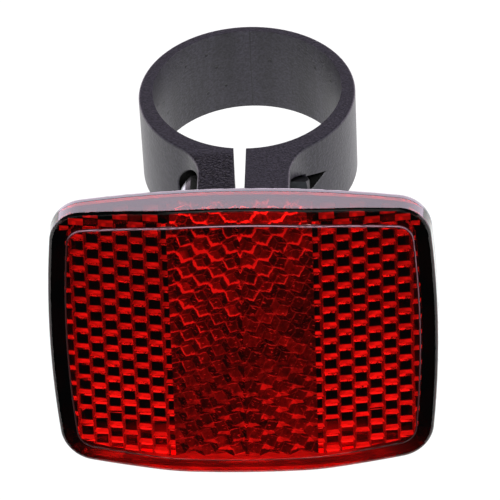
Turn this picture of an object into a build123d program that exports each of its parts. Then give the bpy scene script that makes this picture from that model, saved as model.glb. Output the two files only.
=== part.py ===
from build123d import *
import math
import os

# Bicycle rear reflector on a seat post clamp, in millimetres.
# Z runs up the axis of the seat post, Y points to the front of the bicycle and X to its right.
# The origin is in the middle of the clamp bore. The reflector stands behind it, towards -Y.
# The lens is drawn upright in a frame of its own, with its front at y = 0, and then tipped back.

# Place of the reflector
REACH = 44.1            # bore axis to the middle of the lens border, along Y
DROP = 4.9              # how far the middle of the lens lies below the middle of the ring
TIP_DEG = 13.7          # lean of the seat post, so that the reflector stands upright on it

# Lens
LENS_WIDTH = 56.2       # across the middle of the sides, at the front edge
LENS_HEIGHT = 43.2      # across the middle of the top and bottom, at the front edge
SIDE_BOW_R = 156.0      # barrel curve of the left and right sides
EDGE_BOW_R = 185.0      # barrel curve of the top and bottom
CORNER_R = 5.0
DRAFT_DEG = 3.0         # the skirt widens towards the back plate
SKIRT_DEPTH = 5.4       # front border to the back plate
WALL = 2.3              # skirt wall, which the raised panel and the prism fields keep clear of
FLAT_HALF = 10.4        # half the width of the flat middle panel
SIDE_SLOPE_DEG = 9.2    # how far the two side panels lean back
FOLD_R = 30.0           # soft fold between the middle and the side panels
PANEL_RISE = 0.5        # raised front panel
PANEL_EDGE_R = 0.35
FRONT_EDGE_R = 0.5
PLATE = 2.0             # lens thickness in front of the middle prisms
SIDE_PLATE = 1.4        # lens thickness in front of the side prisms

# Prism fields
PRISM_PITCH = 2.54      # across the flats of a hexagonal corner cube
LAND_WIDTH = 1.68       # flat top of a side prism, across
LAND_HEIGHT = 1.48      # flat top of a side prism, upwards
ROW_SHIFT = 0.76        # how far the rows of side prisms lie above those of the corner cubes
SIDE_RELIEF = 0.62      # height of the side prisms
FIELD_SINK = 0.4        # how far the prism fields start inside the lens plate

# Back plate
BACK_THICK = 1.5
BACK_EDGE_R = 0.7
STEP_HEIGHT = 0.6       # locating step inside the skirt
STEP_GAP = 0.15         # clearance round the step
STEP_WIDTH = 1.4

# Clamp ring and ears
BORE_D = 28.6           # common seat post and clamp size
RING_HEIGHT = 14.6
RING_WALL_BACK = 1.35   # thin wall away from the reflector, which flexes
RING_WALL_FRONT = 2.8   # wall at the ears
RING_EDGE_R = 0.35      # outer rims; the bore keeps its crisp edges
EAR_HALF = 6.8          # outside half width of the two ears together
EAR_FILLET_R = 8.0      # flare from the ring into the ears
EAR_ROOT_R = 1.2        # where the ears meet the back plate
SLIT_BORE = 1.9         # slit width at the bore
SLIT_ROOT = 0.95        # slit width at its closed end
SLIT_SIDE = 0.2         # straight right face of the slit, from the middle plane
SLIT_LAND = 2.2         # solid length between the slit's end and the back plate

# Screw and nut
SCREW_AXIS_BACK = 19.0  # bore axis to screw axis, along Y
SHANK_D = 5.0
SHANK_GAP = 0.08        # radial running clearance of the shank in the ears
HEAD_D = 9.5
HEAD_RIM = 1.3          # straight edge of the head
HEAD_DOME = 2.2         # rise of the domed top over that edge
HEAD_GAP = 0.85         # radial clearance of the head in its counterbore
HEAD_SEAT = 6.4         # seat of the head, from the middle plane
SEAT_GAP = 0.3          # the head and nut are drawn just clear of their seats
RECESS_WIDTH = 1.1      # cross recess in the head
RECESS_SPAN = 4.8
RECESS_DEPTH = 1.8
SHANK_CHAMFER = 0.6     # at the tip
NUT_FLATS = 8.0
NUT_THICK = 4.0
NUT_BORE_GAP = 0.06
NUT_GAP = 0.35          # clearance of each flat in the pocket
NUT_SEAT = 5.2          # seat of the nut, from the middle plane
NUT_CHAMFER = 0.8
SCREW_TIP = 1.2         # length of screw that stands out of the nut
NOTCH_REACH = 7.15      # the nut pocket's notch: how far it comes from the screw towards the bore
NOTCH_RISE = 0.8        # height of its point over the screw
NOTCH_ROOF_DEG = 24.0   # slopes of its upper and lower side
NOTCH_FLOOR_DEG = 45.0
NOTCH_WALL = 0.9        # wall that it leaves round the bore

# Sizes that follow from the ones above
bore_r = BORE_D / 2
ring_r = bore_r + (RING_WALL_FRONT + RING_WALL_BACK) / 2
ring_shift = (RING_WALL_FRONT - RING_WALL_BACK) / 2
ring_half = RING_HEIGHT / 2
slope = math.tan(math.radians(SIDE_SLOPE_DEG))
draft = math.tan(math.radians(DRAFT_DEG))
column = PRISM_PITCH * math.sqrt(3) / 2
cube_edge = PRISM_PITCH / math.sqrt(2)
cube_relief = 2 * cube_edge / math.sqrt(3)
lens_depth = SKIRT_DEPTH + BACK_THICK
far = LENS_WIDTH

tip = math.radians(TIP_DEG)

# Takes the upright lens frame to the frame of the clamp
to_clamp = Location((0, -REACH, -DROP), (-TIP_DEG, 0, 0))


def depth_in_lens(point):
    """How far a point of the clamp frame lies behind the lens border."""
    return (point.Y + REACH) * math.cos(tip) - (point.Z + DROP) * math.sin(tip)


def plate_back(height):
    """Where the back plate's rear face is, along Y in the clamp frame, at a height."""
    return (lens_depth + (height + DROP) * math.sin(tip)) / math.cos(tip) - REACH


def barrel(inset=0.0):
    """Outline of the reflector: four shallow arcs with rounded corners, drawn inset by a distance."""
    half_w = LENS_WIDTH / 2 - inset
    half_h = LENS_HEIGHT / 2 - inset
    side_r = SIDE_BOW_R - inset
    edge_r = EDGE_BOW_R - inset
    sides = Pos(half_w - side_r, 0) * Circle(side_r) & Pos(side_r - half_w, 0) * Circle(side_r)
    edges = Pos(0, half_h - edge_r) * Circle(edge_r) & Pos(0, edge_r - half_h) * Circle(edge_r)
    outline = sides & edges
    return fillet(outline.vertices(), max(CORNER_R - inset, 0.4))


def upright(sketch, depth):
    """Turns a sketch that was drawn from the front into the plane y = depth."""
    return Plane((0, depth, 0), x_dir=(1, 0, 0), z_dir=(0, -1, 0)) * sketch


def block(inset, front, back):
    """The reflector's outline, inset, as a straight block between two depths."""
    return extrude(upright(barrel(inset), back), back - front)


def drafted(front, back):
    """The reflector's outline as a block between two depths, with the mould's draft on its sides."""
    ends = [upright(barrel(-draft * front), front), upright(barrel(-draft * back), back)]
    return loft(ends, ruled=True)


def behind_front(offset):
    """Everything behind the three panels, moved back by an offset, as a solid. Its plan is the front line
    with soft folds, closed well behind the reflector."""
    edge = offset + (far - FLAT_HALF) * slope
    back = edge + 2 * lens_depth
    points = [(-far, edge), (-FLAT_HALF, offset), (FLAT_HALF, offset), (far, edge), (far, back), (-far, back)]
    plan = make_face(Polyline(points, close=True))
    folds = [v for v in plan.vertices() if abs(abs(v.X) - FLAT_HALF) < 0.01]
    return extrude(fillet(folds, FOLD_R), far, both=True)


def corner_cube(x, z, depth):
    """One hexagonal corner cube pointing backwards: its three square faces, seen as rhombi."""
    reach = PRISM_PITCH / math.sqrt(3)
    rim = []
    for k in range(6):
        angle = math.radians(60 * k)
        level = depth + (cube_relief / 2 if k % 2 == 0 else 0.0)
        rim.append(Vector(x + reach * math.cos(angle), level, z + reach * math.sin(angle)))
    apex = Vector(x, depth + cube_relief, z)
    faces = []
    for k in (0, 2, 4):
        corners = [apex, rim[k], rim[(k + 1) % 6], rim[(k + 2) % 6]]
        faces.append(Face(Wire.make_polygon(corners, close=True)))
    return rim, faces


def corner_cube_half():
    """Right half of the middle field: columns of corner cubes closed into one solid by a flat root."""
    root = PLATE - FIELD_SINK
    columns = math.ceil(FLAT_HALF / column) + 1
    rows = math.ceil(LENS_HEIGHT / PRISM_PITCH / 2) + 1
    faces = []
    borders = {}
    for i in range(columns):
        for j in range(-rows, rows + 1):
            x = (i + 0.5) * column
            z = (j + (0.5 if i % 2 else 0.0)) * PRISM_PITCH
            rim, caps = corner_cube(x, z, PLATE)
            faces += caps
            for k in range(6):
                pair = (rim[k], rim[(k + 1) % 6])
                key = tuple(sorted((round(6 * v.X / column), round(2 * v.Z / PRISM_PITCH)) for v in pair))
                borders.setdefault(key, []).append(pair)
    single = [pairs[0] for pairs in borders.values() if len(pairs) == 1]
    for a, b in single:
        low_a = Vector(a.X, root, a.Z)
        low_b = Vector(b.X, root, b.Z)
        faces.append(Face(Wire.make_polygon([a, b, low_b, low_a], close=True)))
    floor_edges = [Edge.make_line((a.X, root, a.Z), (b.X, root, b.Z)) for a, b in single]
    faces.append(Face(Wire(floor_edges)))
    return Solid(Shell(faces))


def middle_field():
    """Corner cubes over the flat panel, mirrored about the middle of the lens."""
    keep = block(WALL, 0, 2 * lens_depth)
    keep &= Pos(FLAT_HALF / 2, 0, 0) * Box(FLAT_HALF, 4 * lens_depth, 2 * far)
    half = corner_cube_half() & keep
    return half + mirror(half, Plane.YZ)


def side_column(index):
    """One column of side prisms on the right panel: flat-topped pyramids, every other column half a
    pitch higher. The column is a toothed strip cut to a tapering section."""
    rows = math.ceil(LENS_HEIGHT / PRISM_PITCH / 2) + 1
    shift = ROW_SHIFT + (0.0 if index % 2 else 0.5 * PRISM_PITCH)
    root = 0.0
    top = SIDE_RELIEF
    teeth = []
    for j in range(-rows, rows + 1):
        z = j * PRISM_PITCH + shift
        teeth += [(root, z - PRISM_PITCH / 2), (top, z - LAND_HEIGHT / 2), (top, z + LAND_HEIGHT / 2)]
    low = teeth[0][1]
    high = rows * PRISM_PITCH + shift + PRISM_PITCH / 2
    teeth += [(root, high), (-FIELD_SINK, high), (-FIELD_SINK, low)]
    strip = extrude(Plane.YZ * make_face(Polyline(teeth, close=True)), column / 2, both=True)
    section = Polyline([(-column / 2, -FIELD_SINK), (-column / 2, root), (-LAND_WIDTH / 2, top),
                        (LAND_WIDTH / 2, top), (column / 2, root), (column / 2, -FIELD_SINK)], close=True)
    taper = extrude(make_face(section), far, both=True)
    return Pos(index * column, 0, 0) * (strip & taper)


def side_field():
    """Columns of side prisms laid on the back of the right panel, the first centred on its fold, cut to the
    field's outline."""
    run = (LENS_WIDTH / 2 - WALL - FLAT_HALF) / math.cos(math.radians(SIDE_SLOPE_DEG))
    columns = round(run / column)
    on_panel = Location((FLAT_HALF, SIDE_PLATE, 0), (0, 0, SIDE_SLOPE_DEG))
    keep = block(WALL, 0, 2 * lens_depth)
    keep &= Pos(FLAT_HALF + far / 2, 0, 0) * Box(far, 4 * lens_depth, 2 * far)
    return [on_panel * side_column(i) & keep for i in range(columns + 1)]


def make_lens():
    """Moulded lens: drafted skirt, three panels with a raised front, and prisms inside."""
    shell = drafted(-PANEL_RISE, SKIRT_DEPTH) & behind_front(0.0)
    front = shell.edges().filter_by(lambda e: on_front(e.center()))
    shell = fillet(front, FRONT_EDGE_R)
    panel = block(WALL, -2 * PANEL_RISE, SKIRT_DEPTH) & behind_front(-PANEL_RISE)
    crest = panel.edges().filter_by(lambda e: on_front(e.center(), -PANEL_RISE))
    shell += fillet(crest, PANEL_EDGE_R)
    middle = Box(2 * FLAT_HALF, 4 * lens_depth, 2 * far)
    room = (behind_front(PLATE) & middle) + (behind_front(SIDE_PLATE) - middle)
    shell -= block(WALL, 0, 2 * SKIRT_DEPTH) & room
    right = side_field()
    left = [mirror(strip, Plane.YZ) for strip in right]
    return shell + [middle_field()] + right + left


def on_front(point, offset=0.0):
    """True for a point on the three front panels, moved back by an offset."""
    lean = max(0.0, abs(point.X) - FLAT_HALF) * slope
    return abs(point.Y - offset - lean) < 0.25


def make_back_plate():
    """Plate that closes the lens from behind, with a rounded rear edge and a locating step."""
    plate = drafted(SKIRT_DEPTH, lens_depth)
    rear = plate.edges().filter_by(lambda e: abs(e.center().Y - lens_depth) < 0.01)
    plate = fillet(rear, BACK_EDGE_R)
    outer = block(WALL + STEP_GAP, SKIRT_DEPTH - STEP_HEIGHT, SKIRT_DEPTH)
    inner = block(WALL + STEP_GAP + STEP_WIDTH, 0, SKIRT_DEPTH)
    return plate + (outer - inner)


def make_housing():
    """Back plate, two ears and split clamp ring, moulded as one piece."""
    plate = to_clamp * make_back_plate()
    ear_length = REACH
    plan = Pos(0, -ring_shift) * Circle(ring_r)
    plan += Pos(0, -ear_length / 2) * Rectangle(2 * EAR_HALF, ear_length)
    necks = [v for v in plan.vertices() if v.Y > -ear_length + 1]
    plan = fillet(necks, EAR_FILLET_R)
    body = Pos(0, 0, -ring_half) * extrude(plan, RING_HEIGHT)
    room = to_clamp * (Pos(0, lens_depth - BACK_THICK / 2 + 2 * far, 0) * Box(4 * far, 4 * far, 4 * far))
    body &= room
    rims = body.edges().filter_by(lambda e: abs(abs(e.center().Z) - ring_half) < 0.01)
    rims = rims.filter_by(lambda e: e.center().Y > -SCREW_AXIS_BACK)
    body = fillet(rims, RING_EDGE_R) - Cylinder(bore_r, 2 * RING_HEIGHT)
    housing = plate + body
    roots = housing.edges().filter_by(lambda e: abs(depth_in_lens(e.center()) - lens_depth) < 0.01)
    roots = roots.filter_by(lambda e: abs(e.center().X) < EAR_HALF + 0.01 and e.length < 2.5 * ring_half)
    housing = fillet(roots, EAR_ROOT_R)
    return housing - slit() - screw_cuts()


def slit():
    """Tapering slit that parts the ears, from the bore to just behind the back plate."""
    end = -plate_back(ring_half) - SLIT_LAND
    wedge = Polyline([(SLIT_SIDE - SLIT_BORE, -bore_r + 1), (SLIT_SIDE, -bore_r + 1),
                      (SLIT_SIDE, -end), (SLIT_SIDE - SLIT_ROOT, -end)], close=True)
    plan = make_face(wedge) + Pos(SLIT_SIDE - SLIT_ROOT / 2, -end) * Circle(SLIT_ROOT / 2)
    return extrude(plan, ring_half + 1, both=True)


def along_screw(distance, facing=1):
    """Plane across the screw at a distance to the right of the middle, facing right or left."""
    return Plane((distance, -SCREW_AXIS_BACK, 0), x_dir=(0, facing, 0), z_dir=(facing, 0, 0))


def nut_notch():
    """Three-cornered notch in the flare beside the nut pocket, which opens the pocket towards the ring."""
    start = NUT_FLATS / 2 - NUT_GAP
    run = NOTCH_REACH - start
    roof = NOTCH_RISE + run * math.tan(math.radians(NOTCH_ROOF_DEG))
    floor = NOTCH_RISE - run * math.tan(math.radians(NOTCH_FLOOR_DEG))
    section = make_face(Polyline([(start, roof), (NOTCH_REACH, NOTCH_RISE), (start, floor)], close=True))
    wedge = extrude(along_screw(EAR_HALF) * section, far)
    return wedge - Cylinder(bore_r + NOTCH_WALL, 2 * RING_HEIGHT)


def screw_cuts():
    """Hole through both ears, round counterbore for the head, hexagonal pocket and notch for the nut."""
    hole = extrude(along_screw(-far) * Circle(SHANK_D / 2 + SHANK_GAP), 2 * far)
    counterbore = extrude(along_screw(-HEAD_SEAT, -1) * Circle(HEAD_D / 2 + HEAD_GAP), far)
    pocket_r = (NUT_FLATS / 2 + NUT_GAP) / math.cos(math.radians(30))
    pocket = extrude(along_screw(NUT_SEAT) * RegularPolygon(pocket_r, 6, rotation=30), far)
    return [hole, counterbore, pocket, nut_notch()]


def make_screw():
    """Cross-recess pan head screw, its head on the left, its shank through both ears."""
    seat = -HEAD_SEAT - SEAT_GAP
    crown = seat - HEAD_RIM - HEAD_DOME
    tip = NUT_SEAT + SEAT_GAP + NUT_THICK + SCREW_TIP
    dome_r = ((HEAD_D / 2) ** 2 + HEAD_DOME ** 2) / (2 * HEAD_DOME)
    head = extrude(along_screw(seat, -1) * Circle(HEAD_D / 2), HEAD_RIM + HEAD_DOME)
    head &= Pos(crown + dome_r, -SCREW_AXIS_BACK, 0) * Sphere(dome_r)
    shank = extrude(along_screw(seat) * Circle(SHANK_D / 2), tip - seat)
    shank = chamfer(shank.edges().filter_by(lambda e: abs(e.center().X - tip) < 0.01), SHANK_CHAMFER)
    screw = head + shank
    for angle in (0, 90):
        arm = Rot(angle, 0, 0) * Box(2 * RECESS_DEPTH, RECESS_SPAN, RECESS_WIDTH)
        screw -= Pos(crown, -SCREW_AXIS_BACK, 0) * arm
    return screw


def make_nut():
    """Hexagon nut in its pocket, chamfered on both faces."""
    start = NUT_SEAT + SEAT_GAP
    corner_r = NUT_FLATS / 2 / math.cos(math.radians(30))
    nut = extrude(along_screw(start) * RegularPolygon(corner_r, 6, rotation=30), NUT_THICK)
    cone = NUT_THICK / 2
    round_r = corner_r + 0.01
    half = make_face(Polyline([(start, 0), (start, round_r - NUT_CHAMFER), (start + NUT_CHAMFER / 2, round_r),
                               (start + cone, round_r), (start + cone, 0)], close=True))
    turned = revolve(half, Axis.X)
    turned += mirror(turned, Plane((start + cone, 0, 0), z_dir=(1, 0, 0)))
    nut &= Pos(0, -SCREW_AXIS_BACK, 0) * turned
    nut -= extrude(along_screw(0) * Circle(SHANK_D / 2 + NUT_BORE_GAP), far)
    return nut


def main():
    os.makedirs("parts", exist_ok=True)
    pieces = {
        "lens": to_clamp * make_lens(),
        "clamp_housing": make_housing(),
        "clamp_screw": make_screw(),
        "clamp_nut": make_nut(),
    }
    for name, piece in pieces.items():
        piece.label = name
        export_step(piece, f"parts/{name}.step")


main()
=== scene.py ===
import bpy
import math
import numpy as np
from bpy.props import FloatProperty, FloatVectorProperty, PointerProperty
from mathutils import Matrix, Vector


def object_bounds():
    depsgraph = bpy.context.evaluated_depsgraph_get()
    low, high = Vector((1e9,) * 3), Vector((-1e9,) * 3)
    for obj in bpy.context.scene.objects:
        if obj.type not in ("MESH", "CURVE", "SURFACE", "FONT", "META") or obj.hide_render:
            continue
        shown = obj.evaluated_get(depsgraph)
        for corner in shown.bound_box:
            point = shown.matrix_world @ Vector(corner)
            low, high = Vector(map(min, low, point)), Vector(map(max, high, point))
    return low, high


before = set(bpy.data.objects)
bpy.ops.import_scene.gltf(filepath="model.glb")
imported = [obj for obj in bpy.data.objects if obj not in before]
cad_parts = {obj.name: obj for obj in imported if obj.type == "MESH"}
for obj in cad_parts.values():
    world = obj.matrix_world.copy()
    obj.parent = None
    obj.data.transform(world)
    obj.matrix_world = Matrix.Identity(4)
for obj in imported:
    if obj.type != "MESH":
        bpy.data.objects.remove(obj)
cad_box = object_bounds()

bl_info = {
    "name": "Rear Reflector",
    "version": (1, 0, 0),
    "blender": (4, 5, 0),
    "location": "View3D > Sidebar > Reflector",
    "description": "Finishes of a bicycle rear reflector on its seat post clamp, with its studio",
    "category": "Object",
}

MM = 0.001

# Place of the upright reflector in the frame of the clamp, as the CAD has it
REACH = 44.1 * MM
DROP = 4.9 * MM
TIP = math.radians(13.7)

# Sizes of the lens and of its prisms, in millimetres of the upright lens frame
FLAT_HALF = 10.4        # half the width of the middle panel
SIDE_SLOPE = 0.162      # how far the side panels lean back
FIELD_HALF_W = 25.85    # the prism fields stay inside these
FIELD_HALF_H = 19.35
LENS_HALF_H = 21.6
REAR_HALF_H = 21.88     # at the rear face of the skirt, widened by the draft
EDGE_BOW_R = 185.0      # barrel curve of the top and bottom
SKIRT_DEPTH = 5.4
PLATE_RIM = 1.5         # the back plate's polished rim reaches this far behind the skirt
PLATE_FROM = 1.25       # the prisms start behind this depth
WALL = 2.3              # thickness of the skirt, inside which the prism fields lie
SIGHT_FALL = 0.316      # fall of the photograph's line of sight inside the lens, per millimetre of depth
LAND_HEIGHT = 1.48      # the flat land of a side prism
PITCH = 2.54            # across the flats of a corner cube
ROW_SHIFT = 0.76        # how far the rows of side prisms lie above those of the corner cubes
COLUMN = PITCH * math.sqrt(3) / 2

# Unevenness of the prisms, in lumps per millimetre
SIDE_CLOUD = 0.33
CUBE_CLOUD = 0.9
CUBE_WAVER = 0.8
WAVER_REACH = 0.9       # how far the lines of the corner cubes shift over its whole range, in millimetres
GLINTS = (1.4, 0.0, 4.5)

# Places in the clamp frame, in metres
BORE_R = 14.3 * MM
RING_R = 16.375 * MM    # outside of the ring, and its middle along Y
RING_Y = -0.725 * MM
FLARE_X = 14.8 * MM     # the fillet that flares the ring into the ears
FLARE_Y = -20.09 * MM
FLARE_R = 8.0 * MM
SKIN = 0.15 * MM        # how far the mask of the seats keeps from the curved walls
BORE_SKIN = 0.05 * MM   # what lies inside the bore's radius and this much more is the wall of the bore
BORE_CLEAR = 0.3 * MM   # and the seats lie farther out than this
SCREW_AHEAD = 19.0 * MM  # the screw's axis lies this far in front of the bore's
SEAT_FROM = 5.0 * MM    # the seats of head and nut lie farther out than this
SEAT_HALF = 6.0 * MM    # and within this of the screw's axis
SHANK_R = 2.55 * MM     # a little more than the outside of the thread
HEAD_SHADE_FROM = -9.0 * MM  # the painted shade on the screw's head begins here and covers it from there inwards
HEAD_SHADE_FULL = -8.7 * MM
EAR_FROM = -15.0 * MM   # along Y, where the ear's own grain begins and where it is full
EAR_FULL = -16.0 * MM
LEFT_FROM = -1.0 * MM   # the same along X
LEFT_FULL = -2.0 * MM

# Patterns of the housing and of the fasteners, in metres
GRAIN = 0.35 * MM       # real grain is about a third as wide, and is drawn coarser so that it shows
GRAIN_CLOUD = 1.6 * MM
GRAIN_DEPTH = 0.13 * MM
PIT_SPACING = 2.8 * MM
FLOW_WIDTH = 3.0 * MM
SEAM_CORE = 0.05 * MM   # the parting line is full up to here from its middle, and gone at its edge
SEAM_EDGE = 0.16 * MM
PLATING_CLOUD = 0.9 * MM
THREAD_PITCH = 0.8 * MM
THREAD_DEPTH = 0.5 * MM

# Directions of the studio, up from the level of the clamp
SOFT_BOX_RISE = math.radians(60)
OPENING_RISE = math.radians(-15)

PAPER_GLOW = 0.9        # share of the floor's white that doesn't take a shadow
SENSOR = 36.0           # width in millimetres

# Plain colours, in linear RGB
BLACK = (0, 0, 0, 1)
WHITE = (1, 1, 1, 1)
# painted shade: the dark red of the unlit crest, for the dark wall seen through it
UNLIT_CREST_SHADE = (0.02, 0, 0, 1)
# painted shade: black on the screw's head where it meets the housing
HEAD_SHADE_BLACK = (0.01, 0.01, 0.01, 1)


def linear(code):
    """Linear RGB of an sRGB hex code such as 'B01217'."""
    values = [int(code[i:i + 2], 16) / 255 for i in (0, 2, 4)]
    return tuple(v / 12.92 if v <= 0.04045 else ((v + 0.055) / 1.055) ** 2.4 for v in values)


def to_clamp(points):
    """Takes points of the upright lens frame, an (n, 3) array in metres, to the frame of the clamp."""
    x, y, z = np.asarray(points, dtype=float).reshape(-1, 3).T
    back = y * math.cos(TIP) + z * math.sin(TIP) - REACH
    up = -y * math.sin(TIP) + z * math.cos(TIP) - DROP
    return np.column_stack([x, back, up])


def turn_to_clamp(direction):
    """Turns a direction of the upright lens frame into the frame of the clamp."""
    return (to_clamp(direction) - to_clamp([0, 0, 0]))[0]


def add(tree, kind, *feeds, named=None, **settings):
    """Adds a node with its settings. Feeds go to its inputs in order, named ones by name. Each is a value, a
    socket or a node, whose first output is taken."""
    made = tree.nodes.new("ShaderNode" + kind)
    for key, value in settings.items():
        setattr(made, key, value)
    usable = [socket for socket in made.inputs if socket.enabled]
    pairs = list(zip(usable, feeds)) + [(made.inputs[name], feed) for name, feed in (named or {}).items()]
    for socket, feed in pairs:
        if isinstance(feed, bpy.types.Node):
            feed = next(out for out in feed.outputs if out.enabled)
        if isinstance(feed, bpy.types.NodeSocket):
            tree.links.new(feed, socket)
        elif feed is not None:
            socket.default_value = feed
    return made


def new_material(name):
    """An empty node material, with its tree."""
    material = bpy.data.materials.new(name)
    material.use_nodes = True
    material.node_tree.nodes.clear()
    return material, material.node_tree


def dress(obj, material):
    """Gives an object one material in all its slots."""
    obj.data.materials.clear()
    obj.data.materials.append(material)


def lens_place(tree):
    """Object coordinates turned into the upright lens frame, in millimetres: x right, y back, z up."""
    shift = (REACH * math.cos(TIP) - DROP * math.sin(TIP), REACH * math.sin(TIP) + DROP * math.cos(TIP))
    place = add(tree, "TexCoord").outputs["Object"]
    upright = add(tree, "Mapping", place, (0, shift[0] / MM, shift[1] / MM), (TIP, 0, 0), (1 / MM,) * 3)
    return add(tree, "SeparateXYZ", upright).outputs


def lens_facing(tree):
    """The facet's own normal in the upright lens frame."""
    true = add(tree, "NewGeometry").outputs["True Normal"]
    upright = add(tree, "Mapping", true, (TIP, 0, 0), vector_type="NORMAL")
    return add(tree, "SeparateXYZ", upright).outputs


def nearest_hexagon(tree, x, z):
    """Place within the nearest corner cube: its local x and z, and the hexagonal distance from its middle.
    The cubes stand in two interleaved lattices, and the nearer centre of the two is taken."""
    found = []
    for start_x, start_z in ((0.5 * COLUMN, 0.0), (1.5 * COLUMN, 0.5 * PITCH)):
        off_x = add(tree, "Math", x, start_x, operation="SUBTRACT")
        off_z = add(tree, "Math", z, start_z, operation="SUBTRACT")
        local_x = add(tree, "Math", off_x, COLUMN, -COLUMN, operation="WRAP")
        local_z = add(tree, "Math", off_z, PITCH / 2, -PITCH / 2, operation="WRAP")
        wide = add(tree, "Math", local_x, operation="ABSOLUTE")
        high = add(tree, "Math", local_z, operation="ABSOLUTE")
        lean = add(tree, "Math", wide, math.cos(math.radians(30)), operation="MULTIPLY")
        slant = add(tree, "Math", high, 0.5, lean, operation="MULTIPLY_ADD")
        reach = add(tree, "Math", high, slant, operation="MAXIMUM")
        found.append((local_x, local_z, reach))
    second = add(tree, "Math", found[0][2], found[1][2], operation="GREATER_THAN")
    return [add(tree, "Mix", second, first, other, data_type="FLOAT") for first, other in zip(*found)]


# In the glow functions the four numbers of a Map Range are two places, in millimetres unless it reads a noise
# or a normal, and the two levels there.


def side_prism_glow(tree, x, z, facing):
    """How brightly the painted glow shows on a facet of the side fields, for the light it throws back: strong
    on the bars above and below the flat lands, weaker between the columns, nothing on the lands. Each bar has
    a bright upper edge and a spot low on its left, and the glow sways from prism to prism and grows towards
    the lower rows."""
    # Flanks lean up or down, and the cheeks between the columns lean sideways
    flank_turn = add(tree, "Math", facing["Z"], operation="ABSOLUTE")
    cheek_turn = add(tree, "Math", facing["X"], operation="ABSOLUTE")
    flank = add(tree, "Math", flank_turn, 0.35, operation="GREATER_THAN")
    cheek = add(tree, "Math", cheek_turn, 0.5, operation="GREATER_THAN")

    # Place within a bar: u to the right and w upwards from its middle; odd columns stand half a pitch lower
    ax = add(tree, "Math", x, operation="ABSOLUTE")
    run = add(tree, "Math", ax, FLAT_HALF, operation="SUBTRACT")
    run = add(tree, "Math", run, math.sqrt(1 + SIDE_SLOPE ** 2), operation="MULTIPLY")
    u = add(tree, "Math", run, COLUMN / 2, -COLUMN / 2, operation="WRAP")
    side = add(tree, "Math", x, operation="SIGN")
    u = add(tree, "Math", u, side, operation="MULTIPLY")
    parity = add(tree, "Math", run, 2 * COLUMN, operation="DIVIDE")
    parity = add(tree, "Math", parity, 0.25, operation="ADD")
    parity = add(tree, "Math", parity, operation="FRACT")
    odd = add(tree, "Math", parity, 0.5, operation="GREATER_THAN")
    w = add(tree, "Math", odd, PITCH / 2, z, operation="MULTIPLY_ADD")
    w = add(tree, "Math", w, ROW_SHIFT, operation="SUBTRACT")
    w = add(tree, "Math", w, PITCH / 2, -PITCH / 2, operation="WRAP")

    # The bright upper edge, which fades to the left, and the spot
    edge = add(tree, "Math", w, 0.28, 0.16, operation="COMPARE")
    right = add(tree, "MapRange", u, -0.5, 0.2, 0.0, 0.35)
    edge = add(tree, "Math", edge, right, operation="MULTIPLY")
    place = add(tree, "CombineXYZ", u, 0.0, w)
    spot = add(tree, "VectorMath", place, (-0.3, 0.0, -0.22), operation="DISTANCE").outputs["Value"]
    spot = add(tree, "MapRange", spot, 0.15, 0.5, 0.5, 0.0, interpolation_type="SMOOTHSTEP")
    bar = add(tree, "Math", edge, spot, operation="MAXIMUM")
    bar = add(tree, "Math", bar, 0.5, operation="ADD")

    where = add(tree, "CombineXYZ", x, 0.0, z)
    cloud = add(tree, "TexNoise", where, SIDE_CLOUD, 2.0, 0.6)
    sway = add(tree, "MapRange", cloud, 0.35, 0.65, 0.7, 1.15)
    lower = add(tree, "MapRange", z, 8.0, -18.0, 0.9, 1.9)
    sway = add(tree, "Math", sway, lower, operation="MULTIPLY")
    on_bar = add(tree, "Math", w, 0.0, (PITCH - LAND_HEIGHT) / 2, operation="COMPARE")
    flank = add(tree, "Math", flank, on_bar, operation="MULTIPLY")
    flank_glow = add(tree, "Math", flank, bar, operation="MULTIPLY")
    cheek_glow = add(tree, "Math", cheek, 0.24, operation="MULTIPLY")
    glow = add(tree, "Math", flank_glow, cheek_glow, operation="MAXIMUM")
    return add(tree, "Math", glow, sway, operation="MULTIPLY")


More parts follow.
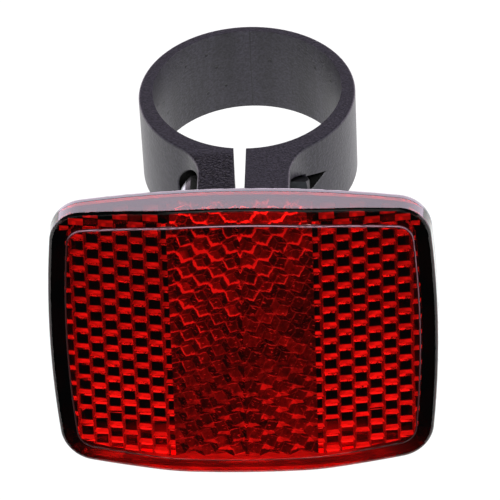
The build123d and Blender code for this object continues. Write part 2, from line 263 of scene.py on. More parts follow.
def corner_cube_glow(tree, x, z, facing):
    """How brightly the painted glow of the corner cubes shows: dim facets in three tones, rims lit low and
    away from the centre line and strongest above, thin edges between the facets, and lit caps in the lower
    rows. Each cube's painted glow has a brightness of its own, as the pins of the mould differ in height and
    polish."""
    ax = add(tree, "Math", x, operation="ABSOLUTE")
    where = add(tree, "CombineXYZ", x, 0.0, z)
    cloud = add(tree, "TexNoise", where, CUBE_CLOUD, 3.0, 0.7)

    # No cube is perfectly sharp, so their lines waver a little
    waver = add(tree, "TexNoise", where, CUBE_WAVER, 3.0, 0.6).outputs["Color"]
    waver = add(tree, "VectorMath", waver, (0.5, 0.5, 0.5), operation="SUBTRACT")
    straight = add(tree, "CombineXYZ", ax, 0.0, z)
    spread = (WAVER_REACH, 0.0, WAVER_REACH)
    waver = add(tree, "VectorMath", waver, spread, straight, operation="MULTIPLY_ADD")
    wavy_x, _, wavy_z = add(tree, "SeparateXYZ", waver).outputs
    local_x, local_z, reach = nearest_hexagon(tree, wavy_x, wavy_z)

    # A number for each cube, from the column, row and half that its middle stands in
    column = add(tree, "Math", wavy_x, local_x, operation="SUBTRACT")
    column = add(tree, "Math", column, 2 / COLUMN, operation="MULTIPLY")
    column = add(tree, "Math", column, operation="ROUND")
    row = add(tree, "Math", wavy_z, local_z, operation="SUBTRACT")
    row = add(tree, "Math", row, 4 / PITCH, operation="MULTIPLY")
    row = add(tree, "Math", row, operation="ROUND")
    half = add(tree, "Math", x, operation="SIGN")
    cell = add(tree, "CombineXYZ", column, row, half)
    pin = add(tree, "TexWhiteNoise", cell).outputs["Value"]

    # The rims, wider where they are brighter
    left = add(tree, "Math", x, -0.035, operation="MULTIPLY")
    fade = add(tree, "Math", z, 0.04, left, operation="MULTIPLY_ADD")
    rim_level = add(tree, "MapRange", fade, -0.05, 0.65, 0.26, 2.0)
    outward = add(tree, "Math", local_x, 0.45, operation="MULTIPLY")
    lit_side = add(tree, "Math", local_z, -0.9, outward, operation="MULTIPLY_ADD")
    lit_side = add(tree, "MapRange", lit_side, 0.1, 0.95, 0.14, 1.0, interpolation_type="SMOOTHSTEP")
    rim_level = add(tree, "Math", rim_level, lit_side, operation="MULTIPLY")
    uneven = add(tree, "MapRange", pin, 0.0, 1.0, 0.6, 1.3)
    rim_level = add(tree, "Math", rim_level, uneven, operation="MULTIPLY")
    rim_gap = add(tree, "Math", PITCH / 2, reach, operation="SUBTRACT")
    rim_gap = add(tree, "Math", cloud, -0.3, rim_gap, operation="MULTIPLY_ADD")
    rim_gap = add(tree, "Math", rim_level, -0.14, rim_gap, operation="MULTIPLY_ADD")
    rim = add(tree, "MapRange", rim_gap, -0.26, 0.02, 1.0, 0.0, interpolation_type="SMOOTHSTEP")
    rim_light = add(tree, "Math", rim, rim_level, operation="MULTIPLY")

    # The three edges between a cube's facets, the level one the brightest
    local = add(tree, "CombineXYZ", local_x, local_z, 0.0)
    radius = add(tree, "VectorMath", local, operation="LENGTH").outputs["Value"]
    angle = add(tree, "Math", local_z, local_x, operation="ARCTAN2")
    angle = add(tree, "Math", angle, math.pi / 3, -math.pi / 3, operation="WRAP")
    off_edge = add(tree, "Math", angle, operation="SINE")
    off_edge = add(tree, "Math", off_edge, radius, operation="MULTIPLY")
    off_edge = add(tree, "Math", off_edge, operation="ABSOLUTE")
    edge = add(tree, "MapRange", off_edge, 0.04, 0.13, 1.0, 0.0)
    level_edge = add(tree, "MapRange", local_x, 0.0, 0.3, 0.28, 0.65)
    edge = add(tree, "Math", edge, level_edge, operation="MULTIPLY")

    # Lit caps on the upper part of each cube in the lower rows
    low = add(tree, "MapRange", z, -3.0, -12.0, 0.0, 1.0)
    rightward = add(tree, "MapRange", x, -8.0, 2.0, 0.35, 1.6)
    corner = add(tree, "Math", low, rightward, operation="MULTIPLY")
    corner = add(tree, "Math", corner, uneven, operation="MULTIPLY")
    peak = add(tree, "Math", local_x, 0.3, operation="ADD")
    peak = add(tree, "Math", peak, operation="ABSOLUTE")
    slope = add(tree, "Math", peak, -0.5, local_z, operation="MULTIPLY_ADD")
    slope = add(tree, "Math", cloud, 0.6, slope, operation="MULTIPLY_ADD")
    cap = add(tree, "MapRange", slope, 0.5, 0.6, 0.0, 1.0)
    cap_light = add(tree, "Math", cap, corner, operation="MULTIPLY")

    # Each facet's painted tone of glow, by the way it faces
    tone = add(tree, "Math", facing["Z"], 0.09, 0.085, operation="MULTIPLY_ADD")
    tone = add(tree, "Math", facing["X"], 0.06, tone, operation="MULTIPLY_ADD")
    own = add(tree, "MapRange", pin, 0.0, 1.0, 0.25, 1.5)
    tone = add(tree, "Math", tone, own, operation="MULTIPLY")
    glow = add(tree, "Math", tone, rim_light, operation="ADD")
    glow = add(tree, "Math", glow, edge, operation="MAXIMUM")
    glow = add(tree, "Math", glow, cap_light, operation="MAXIMUM")

    # Short level painted glints where one cube shows another's edge
    flat = add(tree, "VectorMath", where, GLINTS, operation="MULTIPLY")
    glint = add(tree, "TexNoise", flat, 1.0, 2.0, 0.5)
    glint = add(tree, "MapRange", glint, 0.61, 0.68, 0.0, 0.8)
    glow = add(tree, "Math", glow, glint, operation="MAXIMUM")
    sway = add(tree, "MapRange", cloud, 0.35, 0.65, 0.4, 1.6)
    return add(tree, "Math", glow, sway, operation="MULTIPLY")


def skirt_inset(tree, x, z, half_height):
    """How far a place lies inside the barrel shaped upper or lower edge of the lens."""
    height = add(tree, "Math", z, operation="ABSOLUTE")
    bow = add(tree, "Math", x, x, operation="MULTIPLY")
    edge = add(tree, "Math", bow, -0.5 / EDGE_BOW_R, half_height, operation="MULTIPLY_ADD")
    return add(tree, "Math", edge, height, operation="SUBTRACT")


def skirt_glow(tree, x, depth, z, facing):
    """Painted glow and opacity of the skirt's rear face, standing for light that has run down the wall and
    comes
    out there: a pink line along the top and a bright strip along the bottom, which fades towards the corners."""
    rearward = add(tree, "Math", facing["Y"], operation="ABSOLUTE")
    rearward = add(tree, "Math", rearward, 0.8, operation="GREATER_THAN")
    rear = add(tree, "Math", depth, SKIRT_DEPTH, 0.1, operation="COMPARE")
    rear = add(tree, "Math", rear, rearward, operation="MULTIPLY")
    inset = skirt_inset(tree, x, z, REAR_HALF_H)
    upper = add(tree, "Math", z, 0.0, operation="GREATER_THAN")
    pink = add(tree, "MapRange", inset, 1.0, 1.4, 0.8, 0.0)
    pink = add(tree, "Math", pink, upper, operation="MULTIPLY")
    lower = add(tree, "MapRange", z, -15.0, -20.0, 0.0, 1.0)
    ax = add(tree, "Math", x, operation="ABSOLUTE")
    strip = add(tree, "MapRange", inset, 0.5, 0.62, 0.0, 1.0)
    inwards = add(tree, "MapRange", ax, 19.0, 11.0, 0.0, 0.8, interpolation_type="SMOOTHSTEP")
    strip = add(tree, "Math", strip, inwards, operation="MULTIPLY")
    haze = add(tree, "MapRange", ax, 25.5, 18.0, 0.02, 0.25, interpolation_type="SMOOTHSTEP")
    strip = add(tree, "Math", strip, haze, operation="ADD")
    strip = add(tree, "Math", strip, lower, operation="MULTIPLY")
    glow = add(tree, "Math", pink, strip, operation="MAXIMUM")
    glow = add(tree, "Math", glow, rear, operation="MULTIPLY")
    return glow, rear


def panel_crest(tree, x, depth, z, facing):
    """Mask and brightness of the painted highlight on the rounded crest round the raised front panel. It is
    painted as a thin line of light, strong along the top, weaker on the right and missing on the left and
    below."""
    turn = add(tree, "Math", facing["Y"], operation="ABSOLUTE")
    turned = add(tree, "Math", turn, 0.97, operation="LESS_THAN")
    middle = add(tree, "Math", turn, 0.68, operation="SUBTRACT")
    middle = add(tree, "Math", middle, operation="ABSOLUTE")
    middle = add(tree, "MapRange", middle, 0.08, 0.22, 1.0, 0.0)
    front = add(tree, "Math", depth, 0.02, operation="LESS_THAN")
    ax = add(tree, "Math", x, operation="ABSOLUTE")
    az = add(tree, "Math", z, operation="ABSOLUTE")
    in_width = add(tree, "Math", ax, FIELD_HALF_W + 0.25, operation="LESS_THAN")
    in_height = add(tree, "Math", az, FIELD_HALF_H + 0.05, operation="LESS_THAN")
    crest = turned
    for limit in (front, in_width, in_height):
        crest = add(tree, "Math", crest, limit, operation="MULTIPLY")
    top = add(tree, "MapRange", z, 16.0, 18.0, 0.0, 0.42)
    right = add(tree, "MapRange", x, 20.0, 24.0, 0.0, 1.0)
    down = add(tree, "MapRange", z, -12.0, 14.0, 0.02, 0.25)
    right = add(tree, "Math", right, down, operation="MULTIPLY")
    light = add(tree, "Math", top, right, operation="MAXIMUM")
    light = add(tree, "Math", light, middle, operation="MULTIPLY")
    return crest, light


def inner_wall(tree, y, inset, above, facing):
    """Mask of the skirt's inner wall above the fields, which is painted opaque and dark, and how strongly a
    painted reflection of the top rows shows on it: the fainter the farther back."""
    level = add(tree, "Math", facing["Z"], operation="ABSOLUTE")
    level = add(tree, "Math", level, 0.9, operation="GREATER_THAN")
    at_wall = add(tree, "Math", inset, WALL, 0.12, operation="COMPARE")
    for limit in (level, above):
        at_wall = add(tree, "Math", at_wall, limit, operation="MULTIPLY")
    # Painted reflection of the top rows on the wall
    painted_mirror = add(tree, "MapRange", y, 1.4, 2.6, 0.65, 0.16)
    farther = add(tree, "MapRange", y, 4.0, 5.2, 1.0, 0.3)
    for factor in (farther, at_wall):
        painted_mirror = add(tree, "Math", painted_mirror, factor, operation="MULTIPLY")
    return at_wall, painted_mirror


def upper_border(tree, depth, inset, above, in_width, turn):
    """Mask of the front border above the panel. It is thick and rounded, and so carries a painted red copy of
    the glow of the rows behind it.
    """
    border = add(tree, "Math", turn, 0.94, operation="GREATER_THAN")
    on_front = add(tree, "Math", depth, 0.0, 0.06, operation="COMPARE")
    outside = add(tree, "Math", inset, WALL, operation="LESS_THAN")
    for limit in (on_front, outside, above, in_width):
        border = add(tree, "Math", border, limit, operation="MULTIPLY")
    return border


def upper_rounding(tree, depth, inset, above, turn):
    """Mask of the small rounding above the front border, which looks back into the dark wall and is painted
    black as painted shade.
    """
    edge = add(tree, "Math", turn, 0.58, 0.36, operation="COMPARE")
    outer = add(tree, "Math", inset, 0.8, operation="LESS_THAN")
    front = add(tree, "Math", depth, 1.0, operation="LESS_THAN")
    for limit in (outer, above, front):
        edge = add(tree, "Math", edge, limit, operation="MULTIPLY")
    return edge


def red_acrylic(settings):
    """Red transparent PMMA, injection moulded and polished. Its prisms throw the light back, so their
    flanks glow red, while the flat lands between them let the eye through to the black back plate. The glow
    is painted on the facets by place and normal, as a short render doesn't find it by total reflection."""
    material, tree = new_material("red_acrylic_moulded")
    x, y, z = lens_place(tree)
    facing = lens_facing(tree)

    # The prism fields lie inside the skirt and behind the plate, which leans back at the sides
    ax = add(tree, "Math", x, operation="ABSOLUTE")
    inset = skirt_inset(tree, x, z, LENS_HALF_H)
    in_width = add(tree, "Math", ax, FIELD_HALF_W, operation="LESS_THAN")
    in_height = add(tree, "Math", inset, WALL + 0.06, operation="GREATER_THAN")
    past_fold = add(tree, "Math", ax, FLAT_HALF, operation="SUBTRACT")
    past_fold = add(tree, "Math", past_fold, 0.0, operation="MAXIMUM")
    depth = add(tree, "Math", past_fold, -SIDE_SLOPE, y, operation="MULTIPLY_ADD")
    behind = add(tree, "Math", depth, PLATE_FROM, operation="GREATER_THAN")
    relief = add(tree, "Math", in_width, in_height, operation="MULTIPLY")
    relief = add(tree, "Math", relief, behind, operation="MULTIPLY")

    # Where the glow is painted: the fields themselves, brighter in their top row, and above them the inner
    # wall
    #     and the border, which carry a painted reflection of the top rows where the photograph's line of
    #     sight meets them
    turn = add(tree, "Math", facing["Y"], operation="ABSOLUTE")
    above = add(tree, "Math", z, 0.0, operation="GREATER_THAN")
    at_wall, painted_mirror = inner_wall(tree, y, inset, above, facing)
    border = upper_border(tree, depth, inset, above, in_width, turn)
    top_gain = add(tree, "MapRange", inset, WALL + 1.8, WALL + 0.9, 1.0, 1.7)
    top_gain = add(tree, "Mix", above, 1.0, top_gain, data_type="FLOAT")
    seen = add(tree, "Math", relief, top_gain, operation="MULTIPLY")
    seen = add(tree, "Math", seen, painted_mirror, operation="MAXIMUM")
    seen = add(tree, "Math", border, 0.4, seen, operation="MULTIPLY_ADD")
    fall = add(tree, "Math", at_wall, y, operation="MULTIPLY")
    seen_z = add(tree, "Math", fall, SIGHT_FALL, z, operation="MULTIPLY_ADD")
    seen_z = add(tree, "Math", border, -0.5, seen_z, operation="MULTIPLY_ADD")
    towards = {"X": facing["X"], "Z": add(tree, "Math", facing["Z"], border, operation="MAXIMUM")}

    at_side = add(tree, "Math", ax, FLAT_HALF, operation="GREATER_THAN")
    cubes = corner_cube_glow(tree, x, seen_z, towards)
    bars = side_prism_glow(tree, x, seen_z, towards)
    prisms = add(tree, "Mix", at_side, cubes, bars, data_type="FLOAT")
    prisms = add(tree, "Math", prisms, seen, operation="MULTIPLY")
    lit = add(tree, "Math", prisms, 0.01, operation="GREATER_THAN")
    wall, wall_solid = skirt_glow(tree, x, y, z, facing)
    wall_solid = add(tree, "Math", wall_solid, at_wall, operation="MAXIMUM")
    crest, crest_light = panel_crest(tree, x, depth, z, facing)
    glow = add(tree, "Math", prisms, wall, operation="MAXIMUM", use_clamp=True)
    edge = upper_rounding(tree, depth, inset, above, turn)
    solid = add(tree, "Math", lit, wall_solid, operation="MAXIMUM")
    solid = add(tree, "Math", solid, edge, operation="MAXIMUM")

    # Behind the acrylic the painted glow is nearly white and takes its red on the way out; on the border it
    # is painted red
    red, pale = (*settings.lens_colour, 1), (*settings.prism_glow_colour, 1)
    bright = add(tree, "Mix", border, pale, red, data_type="RGBA")
    shade = add(tree, "Mix", glow, BLACK, bright, data_type="RGBA")
    colour = add(tree, "Mix", solid, red, shade, data_type="RGBA")
    # Painted highlight along the crest, which is opaque and painted dark red where the highlight is missing
    line = add(tree, "Mix", crest_light, UNLIT_CREST_SHADE, (*settings.crest_highlight_colour, 1), data_type="RGBA")
    colour = add(tree, "Mix", crest, colour, line, data_type="RGBA")
    solid = add(tree, "Math", solid, crest, operation="MAXIMUM")
    clear = add(tree, "Math", 1.0, solid, operation="SUBTRACT")
    dull = add(tree, "Math", edge, crest, operation="MAXIMUM")
    specular = add(tree, "Math", dull, -0.45, 0.5, operation="MULTIPLY_ADD")
    shader = add(tree, "BsdfPrincipled", named={"Base Color": colour, "Transmission Weight": clear,
                                                "Specular IOR Level": specular, "Roughness": 0.02,
                                                "IOR": 1.49})
    add(tree, "OutputMaterial", shader)
    return material


def black_moulded_plastic(settings):
    """Black ABS with the grain of a spark-eroded mould, which breaks up the light, and a polished rim on the
    back plate. The bore has a parting line, a few small pits and faint flow marks. Where the lens touches the
    plate, the lens's painted glow is painted on the plate too, and the pockets of the screw get painted
    shade."""
    material, tree = new_material("black_abs_grained")
    place = add(tree, "TexCoord").outputs["Object"]
    x, y, z = add(tree, "SeparateXYZ", place).outputs
    lens_x, depth, lens_z = lens_place(tree)
    lens_light, _ = skirt_glow(tree, lens_x, depth, lens_z, lens_facing(tree))

    plate = add(tree, "MapRange", depth, SKIRT_DEPTH + PLATE_RIM + 0.1, SKIRT_DEPTH + PLATE_RIM, 0.0, 1.0)
    grain = add(tree, "TexNoise", place, 1 / GRAIN, 2.0, 0.6)
    coarse = add(tree, "TexNoise", place, 1 / GRAIN_CLOUD, 1.0, 0.5)
    height = add(tree, "Math", coarse, 0.6, grain, operation="MULTIPLY_ADD")

    radius = add(tree, "CombineXYZ", x, y, 0.0)
    radius = add(tree, "VectorMath", radius, operation="LENGTH").outputs["Value"]
    bore = add(tree, "Math", radius, BORE_R + BORE_SKIN, operation="LESS_THAN")
    seam_gap = add(tree, "Math", x, operation="ABSOLUTE")
    seam = add(tree, "MapRange", seam_gap, SEAM_CORE, SEAM_EDGE, 0.55, 0.0)
    seam = add(tree, "Math", seam, bore, operation="MULTIPLY")
    spots = add(tree, "TexVoronoi", place, 1 / PIT_SPACING)
    pit = add(tree, "MapRange", spots.outputs["Distance"], 0.08, 0.11, 1.0, 0.0)
    pit = add(tree, "Math", pit, bore, operation="MULTIPLY")
    marks = add(tree, "Math", seam, pit, operation="MAXIMUM")
    height = add(tree, "Math", marks, -1.2, height, operation="MULTIPLY_ADD")

    # Faint upright flow marks on the bore
    tall = add(tree, "Mapping", place, (0, 0, 0), (0, 0, 0), (1.0, 1.0, 0.1))
    flow = add(tree, "TexNoise", tall, 1 / FLOW_WIDTH, 3.0, 0.6)
    flow = add(tree, "MapRange", flow, 0.35, 0.65, 0.75, 1.3)
    flow = add(tree, "Mix", bore, 1.0, flow, data_type="FLOAT")

    # The screw's counterbore, pocket and notch lie below the flared flanks and are painted black as painted
    # shade
    ax = add(tree, "Math", x, operation="ABSOLUTE")
    flare = add(tree, "CombineXYZ", ax, y, 0.0)
    off_flare = add(tree, "VectorMath", flare, (FLARE_X, FLARE_Y, 0.0), operation="DISTANCE")
    sunk = add(tree, "Math", off_flare.outputs["Value"], FLARE_R + SKIN, operation="GREATER_THAN")
    off_ring = add(tree, "VectorMath", flare, (0.0, RING_Y, 0.0), operation="DISTANCE")
    in_ring = add(tree, "Math", off_ring.outputs["Value"], RING_R - SKIN, operation="LESS_THAN")
    off_bore = add(tree, "Math", radius, BORE_R + BORE_CLEAR, operation="GREATER_THAN")
    outward = add(tree, "Math", ax, SEAT_FROM, operation="GREATER_THAN")
    forward = add(tree, "Math", y, -SCREW_AHEAD - SEAT_HALF, operation="GREATER_THAN")
    level = add(tree, "Math", z, operation="ABSOLUTE")
    level = add(tree, "Math", level, SEAT_HALF, operation="LESS_THAN")
    shade = sunk
    for limit in (in_ring, off_bore, outward, forward, level):
        shade = add(tree, "Math", shade, limit, operation="MULTIPLY")

    # The top of the left ear has a deeper, darker and glossier grain than the rest
    on_ear = add(tree, "MapRange", y, EAR_FROM, EAR_FULL)
    on_left = add(tree, "MapRange", x, LEFT_FROM, LEFT_FULL)
    leather = add(tree, "Math", on_ear, on_left, operation="MULTIPLY")
    strength = add(tree, "MapRange", leather, 0.0, 1.0, 0.5, 0.9)
    strength = add(tree, "Mix", plate, strength, 0.0, data_type="FLOAT")
    bump = add(tree, "Bump", named={"Strength": strength, "Distance": GRAIN_DEPTH, "Height": height})
    roughness = add(tree, "MapRange", leather, 0.0, 1.0, 0.4, 0.28)
    roughness = add(tree, "Mix", plate, roughness, 0.15, data_type="FLOAT")

    # The colour is darker in the hollows of the grain and in pits and seam, and upward faces get a painted
    # shade
    tint = add(tree, "MapRange", grain, 0.35, 0.65, 0.55, 1.45)
    normal = add(tree, "NewGeometry").outputs["True Normal"]
    upward = add(tree, "SeparateXYZ", normal).outputs["Z"]
    # Painted shade: upward faces are a fifth darker
    painted_top_shade = add(tree, "MapRange", upward, 0.6, 0.9, 1.0, 0.8)
    tone = add(tree, "Math", marks, -0.8, 1.0, operation="MULTIPLY_ADD")
    for factor in (tint, flow, painted_top_shade):
        tone = add(tree, "Math", tone, factor, operation="MULTIPLY")
    tone = add(tree, "Math", leather, -0.35, tone, operation="MULTIPLY_ADD")
    tone = add(tree, "Math", tone, 0.1, operation="MAXIMUM")
    plain = tuple(settings.housing_colour)
    colour = add(tree, "VectorMath", plain, named={"Scale": tone}, operation="SCALE")
    # Painted shade makes the pockets black; the joint with the lens is a dark line
    joint = add(tree, "Math", depth, SKIRT_DEPTH, 0.12, operation="COMPARE")
    black = add(tree, "Math", shade, joint, operation="MAXIMUM")
    colour = add(tree, "Mix", black, colour, BLACK, data_type="RGBA")
    # The skirt's painted glow, painted on the plate where the lens touches it
    colour = add(tree, "Mix", lens_light, colour, (*settings.prism_glow_colour, 1), data_type="RGBA")

    # Upward faces are duller than the rest, and the black of the painted shade and of the joint hardly shines
    dull = add(tree, "MapRange", leather, 0.0, 1.0, 0.1, 0.06)
    specular = add(tree, "MapRange", upward, 0.6, 0.9, 0.36, dull)
    specular = add(tree, "Mix", plate, specular, 1.0, data_type="FLOAT")
    specular = add(tree, "Mix", black, specular, 0.02, data_type="FLOAT")
    shader = add(tree, "BsdfPrincipled", named={"Base Color": colour, "Roughness": roughness, "Normal": bump,
                                                "Specular IOR Level": specular})
    add(tree, "OutputMaterial", shader)
    return material


def zinc_plated_steel(name, plating, smoothest, shaded_head=False):
    """Zinc plated steel of small fasteners: metal with a cloudy gloss, and a rolled thread on the shank.
    Smoothest is its lowest roughness. A shaded head is painted black and not metal where it meets the
    housing, as painted shade."""
    material, tree = new_material(name)
    place = add(tree, "TexCoord").outputs["Object"]
    x, y, z = add(tree, "SeparateXYZ", place).outputs

    # The thread is a helix about the screw's axis, drawn on the shank only
    side = add(tree, "Math", y, SCREW_AHEAD, operation="ADD")
    turn = add(tree, "Math", z, side, operation="ARCTAN2")
    turn = add(tree, "Math", turn, 1 / (2 * math.pi), operation="MULTIPLY")
    helix = add(tree, "Math", x, 1 / THREAD_PITCH, turn, operation="MULTIPLY_ADD")
    thread = add(tree, "Math", helix, 0.5, operation="PINGPONG")
    radius = add(tree, "CombineXYZ", 0.0, side, z)
    radius = add(tree, "VectorMath", radius, operation="LENGTH").outputs["Value"]
    shank = add(tree, "Math", radius, SHANK_R, operation="LESS_THAN")
    thread = add(tree, "Math", thread, shank, operation="MULTIPLY")

    cloud = add(tree, "TexNoise", place, 1 / PLATING_CLOUD, 3.0, 0.6)
    height = add(tree, "Math", cloud, 0.05, thread, operation="MULTIPLY_ADD")
    bump = add(tree, "Bump", named={"Strength": 0.8, "Distance": THREAD_DEPTH, "Height": height})
    roughness = add(tree, "MapRange", cloud, 0.3, 0.7, smoothest, smoothest + 0.15)

    colour, metal = (*plating, 1), 1.0
    # Painted shade: the head is black and not metal where it meets the housing
    if shaded_head:
        head_shade = add(tree, "MapRange", x, HEAD_SHADE_FROM, HEAD_SHADE_FULL, 0.0, 1.0)
        on_head = add(tree, "Math", x, 0.0, operation="LESS_THAN")
        head_shade = add(tree, "Math", head_shade, on_head, operation="MULTIPLY")
        colour = add(tree, "Mix", head_shade, colour, HEAD_SHADE_BLACK, data_type="RGBA")
        metal = add(tree, "Math", 1.0, head_shade, operation="SUBTRACT")
    shader = add(tree, "BsdfPrincipled", named={"Base Color": colour, "Metallic": metal,
                                                "Specular IOR Level": 0.1, "Roughness": roughness,
                                                "Normal": bump})
    add(tree, "OutputMaterial", shader)
    return material


def add_floor(studio):
    """A white paper floor under the reflector, plain white to the camera. Its own glow keeps it even, and it
    lights the object no more than the table around it does."""
    low = cad_box[0][2] - studio.floor_gap
    half = studio.floor_half
    mesh = bpy.data.meshes.new("floor")
    corners = [(-half, -half, low), (half, -half, low), (half, half, low), (-half, half, low)]
    mesh.from_pydata(corners, [], [(0, 1, 2, 3)])
    floor = bpy.data.objects.new("floor", mesh)
    bpy.context.scene.collection.objects.link(floor)
    material, tree = new_material("white_paper_floor")
    matte = add(tree, "BsdfDiffuse", WHITE)
    path = add(tree, "LightPath")
    level = add(tree, "Mix", path.outputs["Is Camera Ray"], studio.low_light, 1.0, data_type="FLOAT")
    white = add(tree, "Emission", WHITE, level)
    paper = add(tree, "MixShader", PAPER_GLOW, matte, white)
    add(tree, "OutputMaterial", paper)
    dress(floor, material)


def add_world(studio):
    """The light tent: a bright low strip behind, a soft box in front and above, white walls and table, a dim
    roof, and a dark opening before the lens. Directions are in the frame of the clamp."""
    world = bpy.data.worlds.new("studio")
    bpy.context.scene.world = world
    world.use_nodes = True
    tree = world.node_tree
    tree.nodes.clear()
    ray = add(tree, "TexCoord").outputs["Generated"]
    x, y, z = add(tree, "SeparateXYZ", ray).outputs

    # Each light is a soft-edged patch of directions: the two places of its Map Range are parts of a ray of
    # length one, along an axis or towards the middle of the patch
    behind = add(tree, "MapRange", y, 0.05, 0.3, 0.0, studio.strip_light, interpolation_type="SMOOTHSTEP")
    over = add(tree, "MapRange", z, -0.27, -0.2, interpolation_type="SMOOTHSTEP")
    under = add(tree, "MapRange", z, 0.42, 0.33, interpolation_type="SMOOTHSTEP")
    strip = add(tree, "Math", over, under, operation="MULTIPLY")
    strip = add(tree, "Math", strip, behind, operation="MULTIPLY")

    towards = (0.1, -math.cos(SOFT_BOX_RISE), math.sin(SOFT_BOX_RISE))
    soft_box = add(tree, "VectorMath", ray, towards, operation="DOT_PRODUCT").outputs["Value"]
    front = add(tree, "MapRange", soft_box, 0.90, 0.96, 0.0, studio.front_light,
                interpolation_type="SMOOTHSTEP")

    sideways = add(tree, "Math", x, operation="ABSOLUTE")
    sides = add(tree, "MapRange", sideways, 0.45, 0.7, 0.0, studio.side_light,
                interpolation_type="SMOOTHSTEP")
    table = add(tree, "MapRange", z, 0.0, -0.1, 0.0, studio.low_light, interpolation_type="SMOOTHSTEP")

    level = strip
    for light in (front, sides, table, studio.top_light):
        level = add(tree, "Math", level, light, operation="MAXIMUM")

    towards = (0.0, -math.cos(OPENING_RISE), math.sin(OPENING_RISE))
    ahead = add(tree, "VectorMath", ray, towards, operation="DOT_PRODUCT").outputs["Value"]
    opening = add(tree, "MapRange", ahead, 0.86, 0.91, 1.0, 0.02, interpolation_type="SMOOTHSTEP")
    level = add(tree, "Math", level, opening, operation="MULTIPLY")

    tinted = add(tree, "Math", strip, 1.0, operation="GREATER_THAN")
    colour = add(tree, "Mix", tinted, WHITE, (*studio.strip_tint, 1), data_type="RGBA")
    light = add(tree, "Background", colour, level)
    seen = add(tree, "Background", WHITE, 1.0)
    path = add(tree, "LightPath")
    mixed = add(tree, "MixShader", path.outputs["Is Camera Ray"], light, seen)
    add(tree, "OutputWorld", mixed)


def add_camera(studio):
    """The photograph's camera: it looks down at the lens, from a little to the right. Its directions are
    worked out in the upright lens frame and rolled, and then turned into the frame of the clamp."""
    rise, side = studio.elevation, studio.azimuth
    back = np.array([math.sin(side) * math.cos(rise), -math.cos(side) * math.cos(rise), math.sin(rise)])
    level = np.array([math.cos(side), math.sin(side), 0.0])
    above = np.cross(back, level)
    right = math.cos(studio.roll) * level + math.sin(studio.roll) * above
    up = math.cos(studio.roll) * above - math.sin(studio.roll) * level
    place = studio.distance * back - studio.aim[0] * right - studio.aim[1] * up
    turn = np.column_stack([turn_to_clamp(right), turn_to_clamp(up), turn_to_clamp(back)])
    data = bpy.data.cameras.new("camera")
    data.lens = studio.focal
    data.sensor_width = SENSOR
    data.clip_start, data.clip_end = 0.01, 10.0
    camera = bpy.data.objects.new("camera", data)
    bpy.context.scene.collection.objects.link(camera)
    camera.matrix_world = Matrix.Translation(to_clamp(place)[0]) @ Matrix(turn.tolist()).to_4x4()
    bpy.context.scene.camera = camera


class ReflectorSettings(bpy.types.PropertyGroup):
    """Colours of the finishes, of the painted glow and highlight and of the painted shade on the nut, in
    linear RGB.
    """
    lens_colour: FloatVectorProperty(name="Lens colour", description="Clear red acrylic",
                                     default=linear("FF130E"), min=0, max=1, subtype="COLOR")
    # Painted glow: the pale light that the prisms throw back, painted on their facets and on the plate behind
    # the skirt
    prism_glow_colour: FloatVectorProperty(name="Prism colour", description="Light that the prisms throw back",
                                      default=linear("FFE0D8"), min=0, max=1, subtype="COLOR")
    # Painted highlight along the crest of the panel
    crest_highlight_colour: FloatVectorProperty(name="Crest colour", description="Light along the crest of the panel",
                                      default=linear("CBA0B4"), min=0, max=1, subtype="COLOR")
    housing_colour: FloatVectorProperty(name="Housing colour", description="Black moulded plastic",
                                        default=linear("24222A"), min=0, max=1, subtype="COLOR")
    screw_colour: FloatVectorProperty(name="Screw colour", description="Bright zinc plating of the screw",
                                      default=linear("B4B7BB"), min=0, max=1, subtype="COLOR")
    # Painted shade: the nut's zinc is darkened as it lies in the shade of its pocket
    nut_shaded_colour: FloatVectorProperty(name="Nut colour", description="Dull zinc plating of the nut",
                                    default=linear("1A1B1D"), min=0, max=1, subtype="COLOR")


class StudioSettings(bpy.types.PropertyGroup):
    """Camera, floor and light of the studio."""
    distance: FloatProperty(name="Camera distance", description="Camera to the front of the lens",
                            default=578.5 * MM, unit="LENGTH")
    elevation: FloatProperty(name="Camera elevation", description="Above the reflector's own horizon",
                             default=0.4663, subtype="ANGLE")
    azimuth: FloatProperty(name="Camera azimuth", description="Turned towards the nut's side",
                           default=0.0497, subtype="ANGLE")
    roll: FloatProperty(name="Camera roll", description="Turn about the line of sight",
                        default=-0.0367, subtype="ANGLE")
    aim: FloatVectorProperty(name="Camera aim", description="Place of the lens centre in the picture plane",
                             default=(-1.0506 * MM, -13.5514 * MM), size=2, unit="LENGTH")
    focal: FloatProperty(name="Focal length", description="Focal length in mm for a 36 mm sensor",
                         default=288.0, unit="CAMERA")
    floor_gap: FloatProperty(name="Floor gap", description="Lowest point of the reflector to the floor",
                             default=60 * MM, unit="LENGTH")
    floor_half: FloatProperty(name="Floor size", description="Half the width of the floor",
                              default=160 * MM, unit="LENGTH")
    strip_light: FloatProperty(name="Strip light", description="Low strip of light behind", default=3.3)
    strip_tint: FloatVectorProperty(name="Strip tint", description="Cool tint of the strip light",
                                    default=(0.98, 0.84, 1.0), min=0, max=1, subtype="COLOR")
    front_light: FloatProperty(name="Front light", description="Soft box in front and above", default=10.0)
    side_light: FloatProperty(name="Side light", description="White walls of the tent", default=1.0)
    low_light: FloatProperty(name="Low light", description="White floor and the table around it", default=1.4)
    top_light: FloatProperty(name="Top light", description="Dim roof of the tent", default=0.35)


class OBJECT_OT_reflector_lens(bpy.types.Operator):
    """Gives the lens its red acrylic, with the glow of its prisms"""
    bl_idname = "object.reflector_lens"
    bl_label = "Reflector lens"

    def execute(self, context):
        dress(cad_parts["lens"], red_acrylic(context.scene.reflector))
        return {"FINISHED"}


class OBJECT_OT_reflector_housing(bpy.types.Operator):
    """Gives the back plate, the ears and the ring their black plastic"""
    bl_idname = "object.reflector_housing"
    bl_label = "Reflector housing"

    def execute(self, context):
        dress(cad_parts["clamp_housing"], black_moulded_plastic(context.scene.reflector))
        return {"FINISHED"}


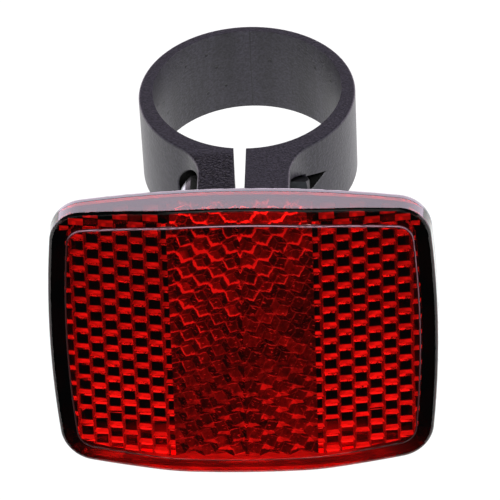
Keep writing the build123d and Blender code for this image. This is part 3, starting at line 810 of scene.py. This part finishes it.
class OBJECT_OT_reflector_fasteners(bpy.types.Operator):
    """Gives the screw its bright zinc and the nut a dull zinc darkened as painted shade"""
    bl_idname = "object.reflector_fasteners"
    bl_label = "Reflector fasteners"

    def execute(self, context):
        settings = context.scene.reflector
        screw = zinc_plated_steel("steel_zinc_bright", settings.screw_colour, smoothest=0.16, shaded_head=True)
        # The nut's colour is darkened as painted shade
        nut = zinc_plated_steel("steel_zinc_dull_shaded", settings.nut_shaded_colour, smoothest=0.4)
        dress(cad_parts["clamp_screw"], screw)
        dress(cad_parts["clamp_nut"], nut)
        return {"FINISHED"}


class OBJECT_OT_reflector_studio(bpy.types.Operator):
    """Adds the floor, the soft light and the camera"""
    bl_idname = "object.reflector_studio"
    bl_label = "Reflector studio"

    def execute(self, context):
        studio = context.scene.reflector_studio
        add_floor(studio)
        add_world(studio)
        add_camera(studio)
        context.scene.view_settings.view_transform = "Standard"

        # Light passes many facets on its way through the prisms
        cycles = context.scene.cycles
        cycles.max_bounces = cycles.transmission_bounces = 24
        cycles.glossy_bounces = 16
        return {"FINISHED"}


class VIEW3D_PT_reflector(bpy.types.Panel):
    """The reflector's settings and steps in the sidebar"""
    bl_label = "Rear reflector"
    bl_idname = "VIEW3D_PT_reflector"
    bl_space_type = "VIEW_3D"
    bl_region_type = "UI"
    bl_category = "Reflector"

    def draw(self, context):
        for group in (context.scene.reflector, context.scene.reflector_studio):
            for name in group.__annotations__:
                self.layout.prop(group, name)
        for operator in OPERATORS:
            self.layout.operator(operator.bl_idname)


OPERATORS = (OBJECT_OT_reflector_lens, OBJECT_OT_reflector_housing, OBJECT_OT_reflector_fasteners,
             OBJECT_OT_reflector_studio)
CLASSES = (ReflectorSettings, StudioSettings, *OPERATORS, VIEW3D_PT_reflector)


def register():
    for cls in CLASSES:
        bpy.utils.register_class(cls)
    bpy.types.Scene.reflector = PointerProperty(type=ReflectorSettings)
    bpy.types.Scene.reflector_studio = PointerProperty(type=StudioSettings)


def unregister():
    del bpy.types.Scene.reflector_studio
    del bpy.types.Scene.reflector
    for cls in reversed(CLASSES):
        bpy.utils.unregister_class(cls)


def main():
    register()
    bpy.ops.object.reflector_lens()
    bpy.ops.object.reflector_housing()
    bpy.ops.object.reflector_fasteners()
    bpy.ops.object.reflector_studio()


if __name__ == "__main__":
    main()
